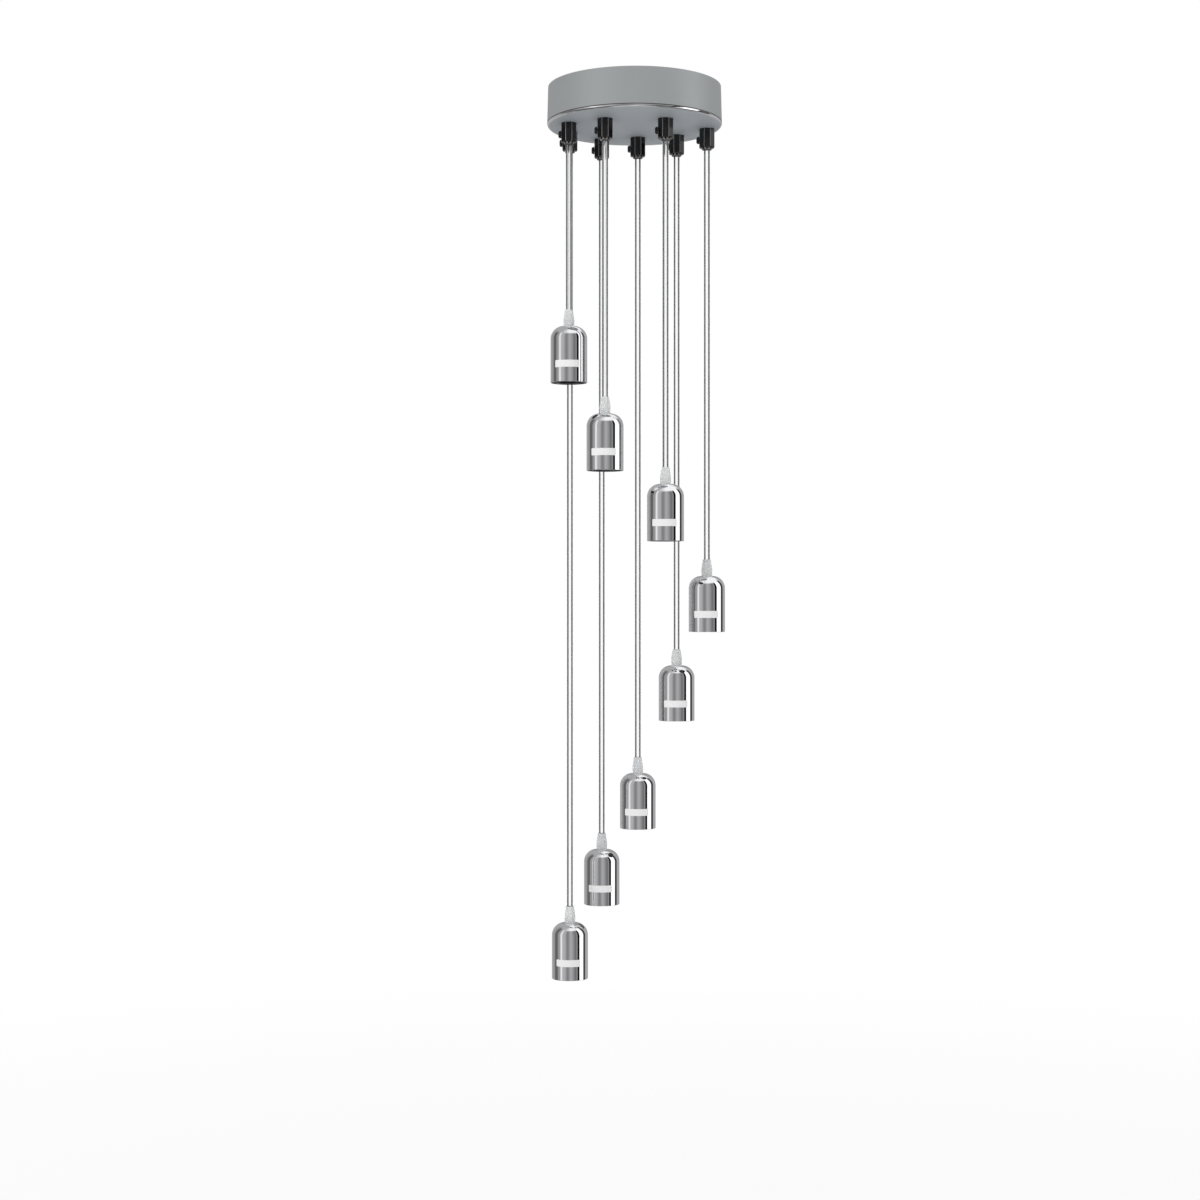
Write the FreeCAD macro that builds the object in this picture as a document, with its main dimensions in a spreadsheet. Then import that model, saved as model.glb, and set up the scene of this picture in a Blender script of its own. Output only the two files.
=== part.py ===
import FreeCAD, Part

import math
import os
import re

import Sketcher

# Cluster pendant: a round canopy under the ceiling with eight lampholders on straight cords.
# Millimetres, +Z up. The origin is on the ceiling, at the middle of the bracket's top face.

SIZES = {
    # steel bracket on the ceiling, its two ends bent down as tabs
    "bracket_wall_gap": 3.6,
    "bracket_width": 30.0,
    "bracket_sheet": 2.0,
    "bracket_tab_height": 22.0,
    "bracket_bend_radius": 1.5,
    "slot_spacing": 70.0,
    "slot_length": 20.0,
    "slot_width": 5.2,
    "cable_hole_radius": 8.0,
    "earth_screw_offset": 60.0,
    "earth_screw_radius": 2.0,
    "earth_head_radius": 3.8,
    "earth_head_height": 2.6,
    # drawn steel canopy
    "canopy_radius": 101.0,
    "canopy_flare": 1.2,
    "canopy_height": 45.0,
    "canopy_wall": 1.2,
    "canopy_edge_round": 3.0,
    # grub screws that hold the canopy on the bracket's tabs
    "side_screw_drop": 12.0,
    "side_screw_radius": 2.0,
    "side_screw_recess": 0.3,
    "side_socket_flats": 2.0,
    "side_socket_depth": 2.0,
    "side_boss_radius": 4.5,
    "tab_gap": 0.3,
    # octagonal cord grips and their lock nuts
    "grip_flats": 17.5,
    "grip_height": 22.0,
    "grip_edge_round": 1.5,
    "grip_rim_chamfer": 1.0,
    "grip_collar_radius": 5.7,
    "grip_collar_height": 2.0,
    "grip_spigot_radius": 5.0,
    "grip_spigot_length": 7.0,
    "lock_nut_flats": 14.0,
    "lock_nut_height": 3.0,
    # clamp screws in the grips' left sides
    "clamp_screw_drop": 13.0,
    "clamp_screw_radius": 2.0,
    "clamp_head_radius": 4.2,
    "clamp_head_height": 3.3,
    "clamp_head_round": 2.2,
    "clamp_slot_width": 1.0,
    "clamp_slot_depth": 1.2,
    # round cords, their tails in the canopy and the tails' two cores
    "cord_radius": 3.5,
    "tail_reach": 1.0,
    "core_radius": 1.1,
    "core_spacing": 3.3,
    "core_bend": 4.0,
    "core_entry": 5.0,
    "core_lead": 5.0,
    "core_step": 8.0,
    # terminal strip on two bosses inside the canopy
    "pole_pitch": 10.0,
    "pole_width": 8.8,
    "pole_chamfer": 1.2,
    "strip_depth": 18.0,
    "strip_height": 14.0,
    "strip_web_depth": 10.0,
    "strip_web_height": 4.0,
    "strip_lug_length": 8.0,
    "strip_boss_radius": 3.5,
    "strip_boss_height": 4.5,
    "tube_radius": 2.4,
    "tube_bore": 1.5,
    "tube_length": 16.0,
    "tube_level": 7.0,
    "terminal_screw_radius": 1.25,
    "terminal_screw_length": 4.6,
    "terminal_screw_offset": 4.5,
    "fixing_screw_radius": 1.5,
    "fixing_head_radius": 2.8,
    "fixing_head_height": 1.8,
    "small_slot_width": 0.6,
    "small_slot_depth": 0.8,
    # clear strain reliefs on the lampholders
    "relief_height": 19.0,
    "relief_foot_radius": 5.9,
    "relief_belly_radius": 6.3,
    "relief_belly_level": 6.7,
    "relief_tip_radius": 4.5,
    # lampholder cups
    "cup_radius": 21.0,
    "cup_height": 65.0,
    "cup_wall": 1.2,
    "cup_rim_round": 0.4,
    # threaded nipples through the cups' tops
    "nipple_radius": 5.0,
    "nipple_bore": 3.7,
    "nipple_rise": 9.0,
    "nipple_depth": 12.0,
    # moulded bodies inside the cups
    "insulator_play": 0.8,
    "insulator_setback": 1.0,
    "insulator_shoulder": 19.0,
    "insulator_neck_radius": 10.0,
    "insulator_neck_level": 8.0,
    "collar_radius": 6.4,
    "mouth_lip": 0.9,
    "mouth_depth": 6.0,
    "floor_thickness": 6.0,
    "contact_well_radius": 7.0,
    "contact_well_depth": 2.6,
    "window_width": 18.0,
    "window_top": 14.0,
    # screw shell, centre contact and terminals of each lampholder
    "shell_radius": 13.25,
    "shell_wall": 0.35,
    "shell_length": 21.4,
    "shell_flange_radius": 8.0,
    "contact_radius": 4.5,
    "contact_rise": 2.5,
    "contact_stem_radius": 2.4,
    "contact_stem_end": 0.8,
    "block_width": 5.4,
    "block_depth": 8.0,
    "block_height": 7.0,
    "block_offset": 5.8,
    "block_screw_radius": 1.5,
    "block_screw_length": 6.0,
    "cord_depth": 17.0,
    # clearances
    "thread_play": 0.05,
    "tip_gap": 0.15,
    "head_gap": 0.1,
    "cord_play": 0.15,
    "fit_play": 0.1,
}

# Outlets in the canopy's face, in the order of the spiral from the shortest cord to the longest:
# distance in from the canopy's edge, bearing from the right towards the back in degrees, free cord
# from the grip to the relief.
OUTLETS = (
    (23.3, -166.6, 190.0),
    (49.1, -131.2, 292.0),
    (48.9, -48.4, 372.0),
    (15.9, 8.1, 476.0),
    (32.8, 42.4, 581.0),
    (42.8, 85.2, 709.0),
    (24.9, 119.8, 800.0),
    (21.2, 160.2, 881.0),
)
NUMBERS = range(1, len(OUTLETS) + 1)

doc = FreeCAD.newDocument("ClusterPendant")
sheet = doc.addObject("Spreadsheet::Sheet", "Sizes")
sub_parts = []


def fill_sheet():
    """Write every driving dimension into the sheet under its own name."""
    sizes = dict(SIZES)
    for number, (inset, bearing, length) in zip(NUMBERS, OUTLETS):
        sizes[f"outlet_{number}_inset"] = inset
        sizes[f"outlet_{number}_bearing"] = bearing
        sizes[f"cord_{number}_length"] = length
    for row, (name, value) in enumerate(sizes.items(), start=1):
        sheet.set(f"A{row}", name)
        sheet.set(f"B{row}", str(value))
        sheet.setAlias(f"B{row}", name)
    doc.recompute()
    return set(sizes)


SIZE_NAMES = fill_sheet()

# Levels below the ceiling and shared places, worked out from the driving dimensions.
FACE_LEVEL = "-canopy_height"
FLOOR_LEVEL = "(-canopy_height + canopy_wall)"
MOUTH_LEVEL = "(-canopy_height - grip_height - grip_collar_height)"
TAIL_END = "(-canopy_height + grip_spigot_length + tail_reach)"
STRIP_FOOT = f"({FLOOR_LEVEL} + strip_boss_height)"
CORE_LEVEL = f"({STRIP_FOOT} + tube_level)"
LUG_PLACE = f"({len(OUTLETS) / 2} * pole_pitch + strip_lug_length / 2)"
RIM_RADIUS = "(canopy_radius - canopy_flare)"
TAB_FACE = f"({RIM_RADIUS} - canopy_wall - bracket_wall_gap)"
DOME_ROUND = "(cup_radius - collar_radius - fit_play)"
INSULATOR_RADIUS = "(cup_radius - cup_wall - insulator_play)"
POCKET_RADIUS = "(shell_radius + shell_wall + fit_play)"
MOUTH_RADIUS = f"({POCKET_RADIUS} + mouth_lip)"
SHELL_SEAT = "(-cup_height + insulator_setback + mouth_depth + shell_length)"
CONTACT_SEAT = f"({SHELL_SEAT} + contact_well_depth)"
WINDOW_FLOOR = f"({CONTACT_SEAT} + floor_thickness)"


def bound(text):
    """The expression with each driving dimension named through the sheet."""
    return re.sub(r"[a-z_][a-z0-9_]*", lambda word: prefixed(word.group()), text)


def prefixed(word):
    return "Sizes." + word if word in SIZE_NAMES else word


def outlet_right(number):
    """How far right of the middle an outlet sits."""
    return f"((canopy_radius - outlet_{number}_inset) * cos(outlet_{number}_bearing * 1 deg))"


def outlet_behind(number):
    """How far behind the middle an outlet sits."""
    return f"((canopy_radius - outlet_{number}_inset) * sin(outlet_{number}_bearing * 1 deg))"


def size(text):
    """The present value of an expression of driving dimensions."""
    return float(sheet.evalExpression(text))


def place(piece, right="0", behind="0", up="0", turn=0.0):
    """Set a piece at its place, turned about the vertical by a fixed angle."""
    piece.Placement.Rotation = FreeCAD.Rotation(FreeCAD.Vector(0, 0, 1), turn)
    for axis, text in (("x", right), ("y", behind), ("z", up)):
        piece.setExpression("Placement.Base." + axis, bound(text))


def sub_part(piece, label):
    """Give a piece its own name and keep it for the hand-over files."""
    piece.Label = label
    sub_parts.append(piece)
    return piece


# ---------------------------------------------------------------- sketches and features


def new_sketch(body, plane, offset="0"):
    """A sketch on one of the body's own origin planes, moved along the plane's normal."""
    sketch = body.newObject("Sketcher::SketchObject", body.Name + "_sketch")
    support = next(item for item in body.Origin.OriginFeatures if item.Role == plane)
    sketch.AttachmentSupport = (support, [""])
    sketch.MapMode = "FlatFace"
    sketch.setExpression("AttachmentOffset.Base.z", bound(offset))
    return sketch


def hold(sketch, kind, places, text):
    """One constraint of a sketch, bound to an expression."""
    index = sketch.addConstraint(Sketcher.Constraint(kind, *places, size(text)))
    sketch.setExpression(f"Constraints[{index}]", bound(text))


def hold_point(sketch, edge, end, across, along):
    """Hold one point of a sketch by its two distances from the sketch's origin."""
    hold(sketch, "DistanceX", (-1, 1, edge, end), across)
    hold(sketch, "DistanceY", (-1, 1, edge, end), along)


def draw_outline(sketch, corners):
    """A closed outline of straight lines through corners given as pairs of expressions."""
    points = [FreeCAD.Vector(size(across), size(along), 0) for across, along in corners]
    first = sketch.GeometryCount
    count = len(points)
    for index in range(count):
        sketch.addGeometry(Part.LineSegment(points[index], points[(index + 1) % count]), False)
    for index in range(count):
        following = first + (index + 1) % count
        sketch.addConstraint(Sketcher.Constraint("Coincident", first + index, 2, following, 1))
    for index, (across, along) in enumerate(corners):
        hold_point(sketch, first + index, 1, across, along)


def draw_circle(sketch, radius, across="0", along="0"):
    """A circle held by its centre and its radius."""
    middle = FreeCAD.Vector(size(across), size(along), 0)
    edge = sketch.addGeometry(Part.Circle(middle, FreeCAD.Vector(0, 0, 1), size(radius)), False)
    hold(sketch, "Radius", (edge,), radius)
    hold_point(sketch, edge, 3, across, along)


def draw_box(sketch, width, height, across="0", along="0"):
    """A rectangle round a middle point."""
    left, right = f"{across} - {width} / 2", f"{across} + {width} / 2"
    low, high = f"{along} - {height} / 2", f"{along} + {height} / 2"
    draw_outline(sketch, [(left, low), (right, low), (right, high), (left, high)])


def draw_polygon(sketch, sides, flats):
    """A regular polygon of that width across flats, one flat towards the viewer."""
    corners = []
    for index in range(sides):
        angle = 360.0 / sides * (index + 0.5) - 90.0
        reach = f"{flats} / 2 / cos({180.0 / sides} deg)"
        corners.append((f"{reach} * cos({angle} deg)", f"{reach} * sin({angle} deg)"))
    draw_outline(sketch, corners)


def draw_slot(sketch, length, width, across):
    """A slot with round ends along the sketch's first axis."""
    reach = f"({length} - {width}) / 2"
    for sign, start in ((-1, 90), (1, 270)):
        middle = f"{across} + {sign} * {reach}"
        circle = Part.Circle(FreeCAD.Vector(size(middle), 0, 0), FreeCAD.Vector(0, 0, 1),
                             size(f"{width} / 2"))
        arc = Part.ArcOfCircle(circle, math.radians(start), math.radians(start + 180))
        edge = sketch.addGeometry(arc, False)
        hold(sketch, "Radius", (edge,), f"{width} / 2")
        hold_point(sketch, edge, 3, middle, "0")
    last = sketch.GeometryCount - 1
    left, right = last - 1, last
    for near, near_end, far, far_end in ((left, 2, right, 1), (right, 2, left, 1)):
        ends = [sketch.getPoint(near, near_end), sketch.getPoint(far, far_end)]
        line = sketch.addGeometry(Part.LineSegment(*ends), False)
        sketch.addConstraint(Sketcher.Constraint("Tangent", near, near_end, line, 1))
        sketch.addConstraint(Sketcher.Constraint("Tangent", line, 2, far, far_end))


def new_body(name):
    return doc.addObject("PartDesign::Body", name)


def feature(body, kind, sketch, length=None, reverse=False, both_ways=False):
    """A pad or pocket; without a length it runs through everything."""
    made = body.newObject("PartDesign::" + kind, body.Name + "_" + kind.lower())
    made.Profile = sketch
    if length is None:
        made.Type = "ThroughAll"
    else:
        made.setExpression("Length", bound(length))
    made.Reversed = reverse
    if both_ways:
        made.SideType = "Symmetric"
    sketch.Visibility = False
    return made


def cut(body, sketch, length=None, reverse=False, both_ways=False):
    """A pocket that has to take material away."""
    doc.recompute()
    before = body.Shape.Volume
    made = feature(body, "Pocket", sketch, length, reverse, both_ways)
    doc.recompute()
    if not body.Shape.Volume < before:
        raise ValueError(f"{made.Name} cuts nothing")
    return made


def pad(body, sketch, length, reverse=False, both_ways=False):
    return feature(body, "Pad", sketch, length, reverse, both_ways)


def revolve(body, corners, axis="V_Axis"):
    """A solid turned from an outline in the body's upright plane."""
    sketch = new_sketch(body, "XZ_Plane")
    draw_outline(sketch, corners)
    made = body.newObject("PartDesign::Revolution", body.Name + "_turned")
    made.Profile = sketch
    made.ReferenceAxis = (sketch, [axis])
    return made


def repeat(body, originals, axis, count, spacing):
    """A row of the same features along one of the body's axes."""
    made = body.newObject("PartDesign::LinearPattern", body.Name + "_row")
    made.Originals = originals
    made.Direction = (next(item for item in body.Origin.OriginFeatures if item.Role == axis), [""])
    made.setExpression("Length", bound(f"{count - 1} * {spacing}"))
    made.Occurrences = count
    body.Tip = made
    return made


def edge_names(shape, wanted):
    return [f"Edge{index}" for index, edge in enumerate(shape.Edges, start=1) if wanted(edge)]


def near(first, second):
    return abs(first - second) < 1e-4


def circle_at(radius, level):
    """A test for whole horizontal circles of that radius at that level."""
    def wanted(edge):
        curve = edge.Curve
        return (isinstance(curve, Part.Circle) and near(curve.Radius, size(radius))
                and near(curve.Center.z, size(level)) and near(curve.Center.x, 0))
    return wanted


def soften(body, kind, wanted, amount):
    """A fillet or chamfer on the edges that a test picks."""
    doc.recompute()
    names = edge_names(body.Shape, wanted)
    if not names:
        raise ValueError(f"{body.Name} has no edge to soften")
    base = body.Tip
    made = body.newObject("PartDesign::" + kind, body.Name + "_" + kind.lower())
    made.Base = (base, names)
    made.setExpression("Radius" if kind == "Fillet" else "Size", bound(amount))
    return made


def drive_slot(body, plane, offset, width, depth, length, reverse):
    """A screwdriver slot across a screw's head."""
    sketch = new_sketch(body, plane, offset)
    draw_box(sketch, width, length)
    return cut(body, sketch, depth, reverse)


def copy_of(master, name, right="0", behind="0", up="0", turn=0.0):
    """A further piece of the same make, at its own place."""
    base = doc.addObject("PartDesign::FeatureBase", name + "_base")
    base.BaseFeature = master
    piece = new_body(name)
    piece.Group = [base]
    piece.Tip = base
    place(piece, right, behind, up, turn)
    return piece


def group(label, pieces):
    """Separate solids of one kind under one name."""
    made = doc.addObject("Part::Compound", label)
    made.Links = pieces
    return sub_part(made, label)


def at_outlets(label, master, up):
    """The same piece at each outlet, under one name."""
    pieces = [copy_of(master, f"{label}_{number}", outlet_right(number), outlet_behind(number), up)
              for number in NUMBERS]
    return group(label, pieces)


# ---------------------------------------------------------------- bracket


def make_bracket():
    """A strip of sheet steel with bent ends, two screw slots and a hole for the supply cable."""
    body = new_body("mounting_bracket")
    sketch = new_sketch(body, "XZ_Plane")
    inner = f"({TAB_FACE} - bracket_sheet)"
    draw_outline(sketch, [
        (f"-{TAB_FACE}", "-bracket_tab_height"), (f"-{inner}", "-bracket_tab_height"),
        (f"-{inner}", "-bracket_sheet"), (inner, "-bracket_sheet"),
        (inner, "-bracket_tab_height"), (TAB_FACE, "-bracket_tab_height"),
        (TAB_FACE, "0"), (f"-{TAB_FACE}", "0")])
    pad(body, sketch, "bracket_width", both_ways=True)

    def bend(place_x, level):
        def wanted(edge):
            first, last = edge.Vertexes[0].Point, edge.Vertexes[-1].Point
            return (near(first.x, last.x) and near(first.z, last.z)
                    and near(abs(first.x), size(place_x)) and near(first.z, size(level)))
        return wanted

    soften(body, "Fillet", bend(TAB_FACE, "0"), "bracket_bend_radius + bracket_sheet")
    soften(body, "Fillet", bend(inner, "-bracket_sheet"), "bracket_bend_radius")
    holes = new_sketch(body, "XY_Plane")
    for sign in (-1, 1):
        draw_slot(holes, "slot_length", "slot_width", f"{sign} * slot_spacing / 2")
    draw_circle(holes, "cable_hole_radius")
    draw_circle(holes, "earth_screw_radius + thread_play", "earth_screw_offset")
    cut(body, holes)
    return sub_part(body, "mounting_bracket")


def make_earth_screw():
    """The earth screw, its head under the bracket."""
    body = new_body("earth_screw")
    seat = "-bracket_sheet"
    head_end = f"({seat} - earth_head_height)"
    revolve(body, [("0", "-tip_gap"), ("earth_screw_radius", "-tip_gap"),
                   ("earth_screw_radius", seat), ("earth_head_radius", seat),
                   ("earth_head_radius", head_end), ("0", head_end)])
    drive_slot(body, "XY_Plane", head_end, "clamp_slot_width", "clamp_slot_depth",
               "earth_head_radius * 2.5", reverse=True)
    place(body, "earth_screw_offset")
    return sub_part(body, "earth_screw")


# ---------------------------------------------------------------- canopy


def make_canopy():
    """A drawn cap with outlets for the grips and bosses for the side screws and the strip."""
    body = new_body("canopy")
    revolve(body, [("0", FACE_LEVEL), ("canopy_radius", FACE_LEVEL), (RIM_RADIUS, "0"),
                   (f"{RIM_RADIUS} - canopy_wall", "0"),
                   ("canopy_radius - canopy_wall", FLOOR_LEVEL), ("0", FLOOR_LEVEL)])
    soften(body, "Fillet", circle_at("canopy_radius", FACE_LEVEL), "canopy_edge_round")
    soften(body, "Fillet", circle_at("canopy_radius - canopy_wall", FLOOR_LEVEL),
           "canopy_edge_round - canopy_wall")

    strip_bosses = new_sketch(body, "XY_Plane", FLOOR_LEVEL)
    side_start = f"({TAB_FACE} + tab_gap)"
    side_boss = new_sketch(body, "YZ_Plane", side_start)
    draw_circle(side_boss, "side_boss_radius", "0", "-side_screw_drop")
    side_pad = pad(body, side_boss, f"{RIM_RADIUS} - canopy_wall / 2 - {side_start}")
    mirror = body.newObject("PartDesign::Mirrored", "canopy_mirrored_boss")
    mirror.Originals = [side_pad]
    upright = next(item for item in body.Origin.OriginFeatures if item.Role == "YZ_Plane")
    mirror.MirrorPlane = (upright, [""])
    body.Tip = mirror
    for sign in (-1, 1):
        draw_circle(strip_bosses, "strip_boss_radius", f"{sign} * {LUG_PLACE}")
    pad(body, strip_bosses, "strip_boss_height")

    side_bores = new_sketch(body, "YZ_Plane")
    draw_circle(side_bores, "side_screw_radius + thread_play", "0", "-side_screw_drop")
    cut(body, side_bores, both_ways=True)
    boss_bores = new_sketch(body, "XY_Plane", STRIP_FOOT)
    for sign in (-1, 1):
        draw_circle(boss_bores, "fixing_screw_radius + thread_play", f"{sign} * {LUG_PLACE}")
    cut(body, boss_bores, "strip_boss_height")
    outlets = new_sketch(body, "XY_Plane", FLOOR_LEVEL)
    for number in NUMBERS:
        draw_circle(outlets, "grip_spigot_radius + fit_play", outlet_right(number),
                    outlet_behind(number))
    cut(body, outlets)
    return sub_part(body, "canopy")


def make_side_screws():
    """Two headless screws whose ends press on the bracket's tabs."""
    tip = f"({TAB_FACE} + tip_gap)"
    end = f"({RIM_RADIUS} - side_screw_recess)"
    for label, turn in (("canopy_screw_right", 0.0), ("canopy_screw_left", 180.0)):
        body = new_body(label)
        revolve(body, [(tip, "0"), (tip, "side_screw_radius / 2"),
                       (f"{tip} + side_screw_radius / 2", "side_screw_radius"),
                       (end, "side_screw_radius"), (end, "0")], axis="H_Axis")
        socket = new_sketch(body, "YZ_Plane", end)
        draw_polygon(socket, 6, "side_socket_flats")
        cut(body, socket, "side_socket_depth")
        place(body, up="-side_screw_drop", turn=turn)
        sub_part(body, label)


# ---------------------------------------------------------------- cord grips


def make_grips():
    """Octagonal grips under the face, each with a threaded spigot through its outlet."""
    body = new_body("grip_master")
    prism = new_sketch(body, "XY_Plane")
    draw_polygon(prism, 8, "grip_flats")
    pad(body, prism, "grip_height", reverse=True)

    def upright(edge):
        first, last = edge.Vertexes[0].Point, edge.Vertexes[-1].Point
        return near(first.x, last.x) and near(first.y, last.y)

    soften(body, "Fillet", upright, "grip_edge_round")
    soften(body, "Chamfer", lambda edge: near(edge.BoundBox.ZMax, -size("grip_height")),
           "grip_rim_chamfer")
    collar = new_sketch(body, "XY_Plane", "-grip_height")
    draw_circle(collar, "grip_collar_radius")
    pad(body, collar, "grip_collar_height", reverse=True)
    spigot = new_sketch(body, "XY_Plane")
    draw_circle(spigot, "grip_spigot_radius")
    pad(body, spigot, "grip_spigot_length")
    bore = new_sketch(body, "XY_Plane")
    draw_circle(bore, "cord_radius + cord_play")
    cut(body, bore, both_ways=True)
    screw_hole = new_sketch(body, "YZ_Plane")
    draw_circle(screw_hole, "clamp_screw_radius + thread_play", "0", "-clamp_screw_drop")
    cut(body, screw_hole)
    return at_outlets("cord_grips", body, FACE_LEVEL)


def make_lock_nuts():
    """A thin hexagon nut on each spigot, inside the canopy."""
    body = new_body("lock_nut_master")
    hexagon = new_sketch(body, "XY_Plane")
    draw_polygon(hexagon, 6, "lock_nut_flats")
    pad(body, hexagon, "lock_nut_height")
    bore = new_sketch(body, "XY_Plane")
    draw_circle(bore, "grip_spigot_radius + thread_play")
    cut(body, bore, both_ways=True)
    return at_outlets("grip_lock_nuts", body, FLOOR_LEVEL)


def make_clamp_screws():
    """A slotted screw in each grip, its end just short of the cord and its head outside."""
    body = new_body("clamp_screw_master")
    tip = "-(cord_radius + tip_gap)"
    seat = "-(grip_flats / 2 + head_gap)"
    top = f"({seat} - clamp_head_height)"
    revolve(body, [(tip, "0"), (tip, "clamp_screw_radius"), (seat, "clamp_screw_radius"),
                   (seat, "clamp_head_radius"), (top, "clamp_head_radius"), (top, "0")],
            axis="H_Axis")

    def head_edge(edge):
        curve = edge.Curve
        return (isinstance(curve, Part.Circle) and near(curve.Radius, size("clamp_head_radius"))
                and near(curve.Center.x, size(top)))

    soften(body, "Fillet", head_edge, "clamp_head_round")
    drive_slot(body, "YZ_Plane", top, "clamp_slot_width", "clamp_slot_depth",
               "clamp_head_radius * 2.5", reverse=True)
    for number in NUMBERS:
        piece = copy_of(body, f"clamp_screw_{number}", outlet_right(number),
                        outlet_behind(number), f"{FACE_LEVEL} - clamp_screw_drop")
        sub_part(piece, f"clamp_screw_{number}")


# ---------------------------------------------------------------- cords and wiring


def make_cords():
    """Each hanging cord, straight from the grip's mouth into its lampholder."""
    for number in NUMBERS:
        cord = doc.addObject("Part::Cylinder", f"cord_{number}")
        length = f"cord_{number}_length + relief_height + cord_depth"
        cord.setExpression("Radius", bound("cord_radius"))
        cord.setExpression("Height", bound(length))
        place(cord, outlet_right(number), outlet_behind(number),
              f"{MOUTH_LEVEL} - ({length})")
        sub_part(cord, f"cord_{number}")


def make_cord_tails():
    """The end of each cord, held in its grip and reaching into the canopy."""
    tails = []
    for number in NUMBERS:
        tail = doc.addObject("Part::Cylinder", f"cord_tail_{number}")
        tail.setExpression("Radius", bound("cord_radius"))
        tail.setExpression("Height", bound(f"{TAIL_END} - {MOUTH_LEVEL}"))
        place(tail, outlet_right(number), outlet_behind(number), MOUTH_LEVEL)
        tails.append(tail)
    return group("cord_tails", tails)


def rounded_path(points, bend):
    """Straight runs joined by tangent arcs of one radius."""
    edges = []
    start = points[0]
    for before, corner, after in zip(points, points[1:], points[2:]):
        way_in = (corner - before).normalize()
        way_out = (after - corner).normalize()
        half_turn = way_in.getAngle(way_out) / 2
        reach = bend * math.tan(half_turn)
        arc_start = corner - way_in * reach
        arc_end = corner + way_out * reach
        inward = (way_out - way_in).normalize()
        middle = corner + inward * (bend / math.cos(half_turn) - bend)
        edges.append(Part.LineSegment(start, arc_start).toShape())
        edges.append(Part.Arc(arc_start, middle, arc_end).toShape())
        start = arc_end
    edges.append(Part.LineSegment(start, points[-1]).toShape())
    return Part.Wire(edges)


def tube(points, radius, bend):
    """A round wire along a rounded path."""
    path = rounded_path(points, bend)
    heading = points[1] - points[0]
    section = Part.Wire([Part.makeCircle(radius, points[0], heading)])
    solid = path.makePipeShell([section], True, False)
    expected = math.pi * radius ** 2 * path.Length
    if abs(solid.Volume / expected - 1) > 0.01:
        raise ValueError("a core's volume is not its section times its length")
    return solid


def core_route(number, neutral):
    """One core from its cord's tail, up, across to its pole and into the brass tube."""
    front = number <= len(OUTLETS) / 2
    side = -1 if front else 1
    pair = number - 1 if front else len(OUTLETS) - number
    pitch = size("pole_pitch")
    pole = (2 * pair + int(neutral) - (len(OUTLETS) - 1) / 2) * pitch
    pair_middle = (2 * pair + 0.5 - (len(OUTLETS) - 1) / 2) * pitch
    across, along = size(outlet_right(number)), size(outlet_behind(number))
    outer = neutral if pair_middle > across else not neutral
    face = side * size("strip_depth") / 2
    corner_row = face + side * (size("core_lead") + int(outer) * size("core_step"))
    heading = FreeCAD.Vector(pair_middle - across, corner_row - along, 0).normalize()
    aside = FreeCAD.Vector(heading.y, -heading.x, 0) * (-side if neutral else side)
    start = FreeCAD.Vector(across, along, 0) + aside * size("core_spacing") / 2
    level = size(CORE_LEVEL)
    return [
        FreeCAD.Vector(start.x, start.y, size(TAIL_END)),
        FreeCAD.Vector(start.x, start.y, level),
        FreeCAD.Vector(pole, corner_row, level),
        FreeCAD.Vector(pole, face - side * size("core_entry"), level),
    ]


def make_cores():
    """The two wires of every cord inside the canopy, live and neutral."""
    bend = size("core_bend")
    for label, neutral in (("live_cores", False), ("neutral_cores", True)):
        solids = [tube(core_route(number, neutral), size("core_radius"), bend)
                  for number in NUMBERS]
        made = doc.addObject("Part::Feature", label)
        made.Shape = Part.makeCompound(solids)
        sub_part(made, label)
    print(f"core bends: radius {bend:.1f} mm on wires of radius {size('core_radius'):.1f} mm")


# ---------------------------------------------------------------- terminal strip


def make_terminal_strip():
    """A moulded strip of poles on a web whose ends are lugs for the fixing screws."""
    poles = len(OUTLETS)
    body = new_body("terminal_strip")
    web = new_sketch(body, "XY_Plane")
    draw_box(web, f"({poles} * pole_pitch + 2 * strip_lug_length)", "strip_web_depth")
    pad(body, web, "strip_web_height")
    first = f"{-(poles - 1) / 2} * pole_pitch"
    low, high = f"({first} - pole_width / 2)", f"({first} + pole_width / 2)"
    tower = new_sketch(body, "XZ_Plane")
    draw_outline(tower, [
        (low, "0"), (high, "0"), (high, "strip_height - pole_chamfer"),
        (f"{high} - pole_chamfer", "strip_height"), (f"{low} + pole_chamfer", "strip_height"),
        (low, "strip_height - pole_chamfer")])
    tower_pad = pad(body, tower, "strip_depth", both_ways=True)
    bore = new_sketch(body, "XZ_Plane")
    draw_circle(bore, "tube_radius + thread_play", first, "tube_level")
    bore_cut = cut(body, bore, both_ways=True)
    wells = new_sketch(body, "XY_Plane", "strip_height")
    for sign in (-1, 1):
        draw_circle(wells, "terminal_screw_radius * 1.5", first, f"{sign} * terminal_screw_offset")
    well_cut = cut(body, wells, "strip_height - tube_level")
    repeat(body, [tower_pad, bore_cut, well_cut], "X_Axis", poles, "pole_pitch")
    lug_holes = new_sketch(body, "XY_Plane")
    for sign in (-1, 1):
        draw_circle(lug_holes, "fixing_screw_radius + fit_play", f"{sign} * {LUG_PLACE}")
    cut(body, lug_holes, both_ways=True)
    place(body, up=STRIP_FOOT)
    return sub_part(body, "terminal_strip")


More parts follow.
